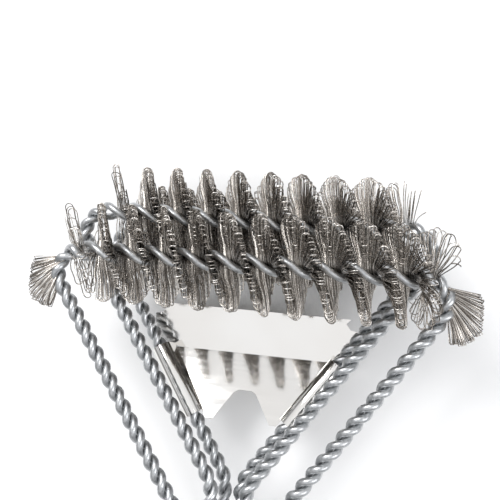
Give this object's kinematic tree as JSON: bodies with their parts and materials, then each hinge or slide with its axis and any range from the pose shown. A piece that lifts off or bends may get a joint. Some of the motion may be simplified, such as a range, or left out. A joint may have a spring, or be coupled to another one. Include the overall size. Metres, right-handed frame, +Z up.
{
  "type": "grill cleaning brush",
  "caption": "Bristle-free grill brush with rows of coiled wire loops on twisted wire rods, a folded sheet scraper and a moulded handle.",
  "frame": {"origin": "under the middle of the part, at the height of its lowest point", "axes": "+X across the brush rows, +Y from the handle to the brush head, +Z up"},
  "size_m": [0.1798, 0.455, 0.071],
  "materials": {
    "galvanised_wire": "satin zinc",
    "loop_wire": "bright fine wire",
    "polished_sheet": "mirror polished",
    "satin_steel": "satin",
    "handle_plastic": "fine moulded grain",
    "grip_rubber": "matt",
    "seat_resin": "matt"
  },
  "bodies": {
    "brush": {"near_wire_a": "galvanised_wire", "near_wire_b": "galvanised_wire", "front_wire_a": "galvanised_wire", "front_wire_b": "galvanised_wire", "low_wire_a": "galvanised_wire", "low_wire_b": "galvanised_wire", "near_coil": "loop_wire", "front_coil": "loop_wire", "low_coil": "loop_wire", "scraper": "polished_sheet", "rod_seat": "seat_resin", "collar": "satin_steel", "collar_rivets": "satin_steel", "handle_tube": "satin_steel", "handle_body": "handle_plastic", "grip_sleeve": "grip_rubber", "end_cap": "handle_plastic", "bail_pin": "satin_steel", "pin_washers": "satin_steel"},
    "bail": {"hang_bail": "satin_steel"}
  },
  "joints": [
    {"name": "bail_swing", "type": "hinge", "parent": "brush", "child": "bail", "pos_m": [0, -0.1935, 0.0375], "axis": [1, 0, 0], "range_deg": [-110, 110]}
  ]
}
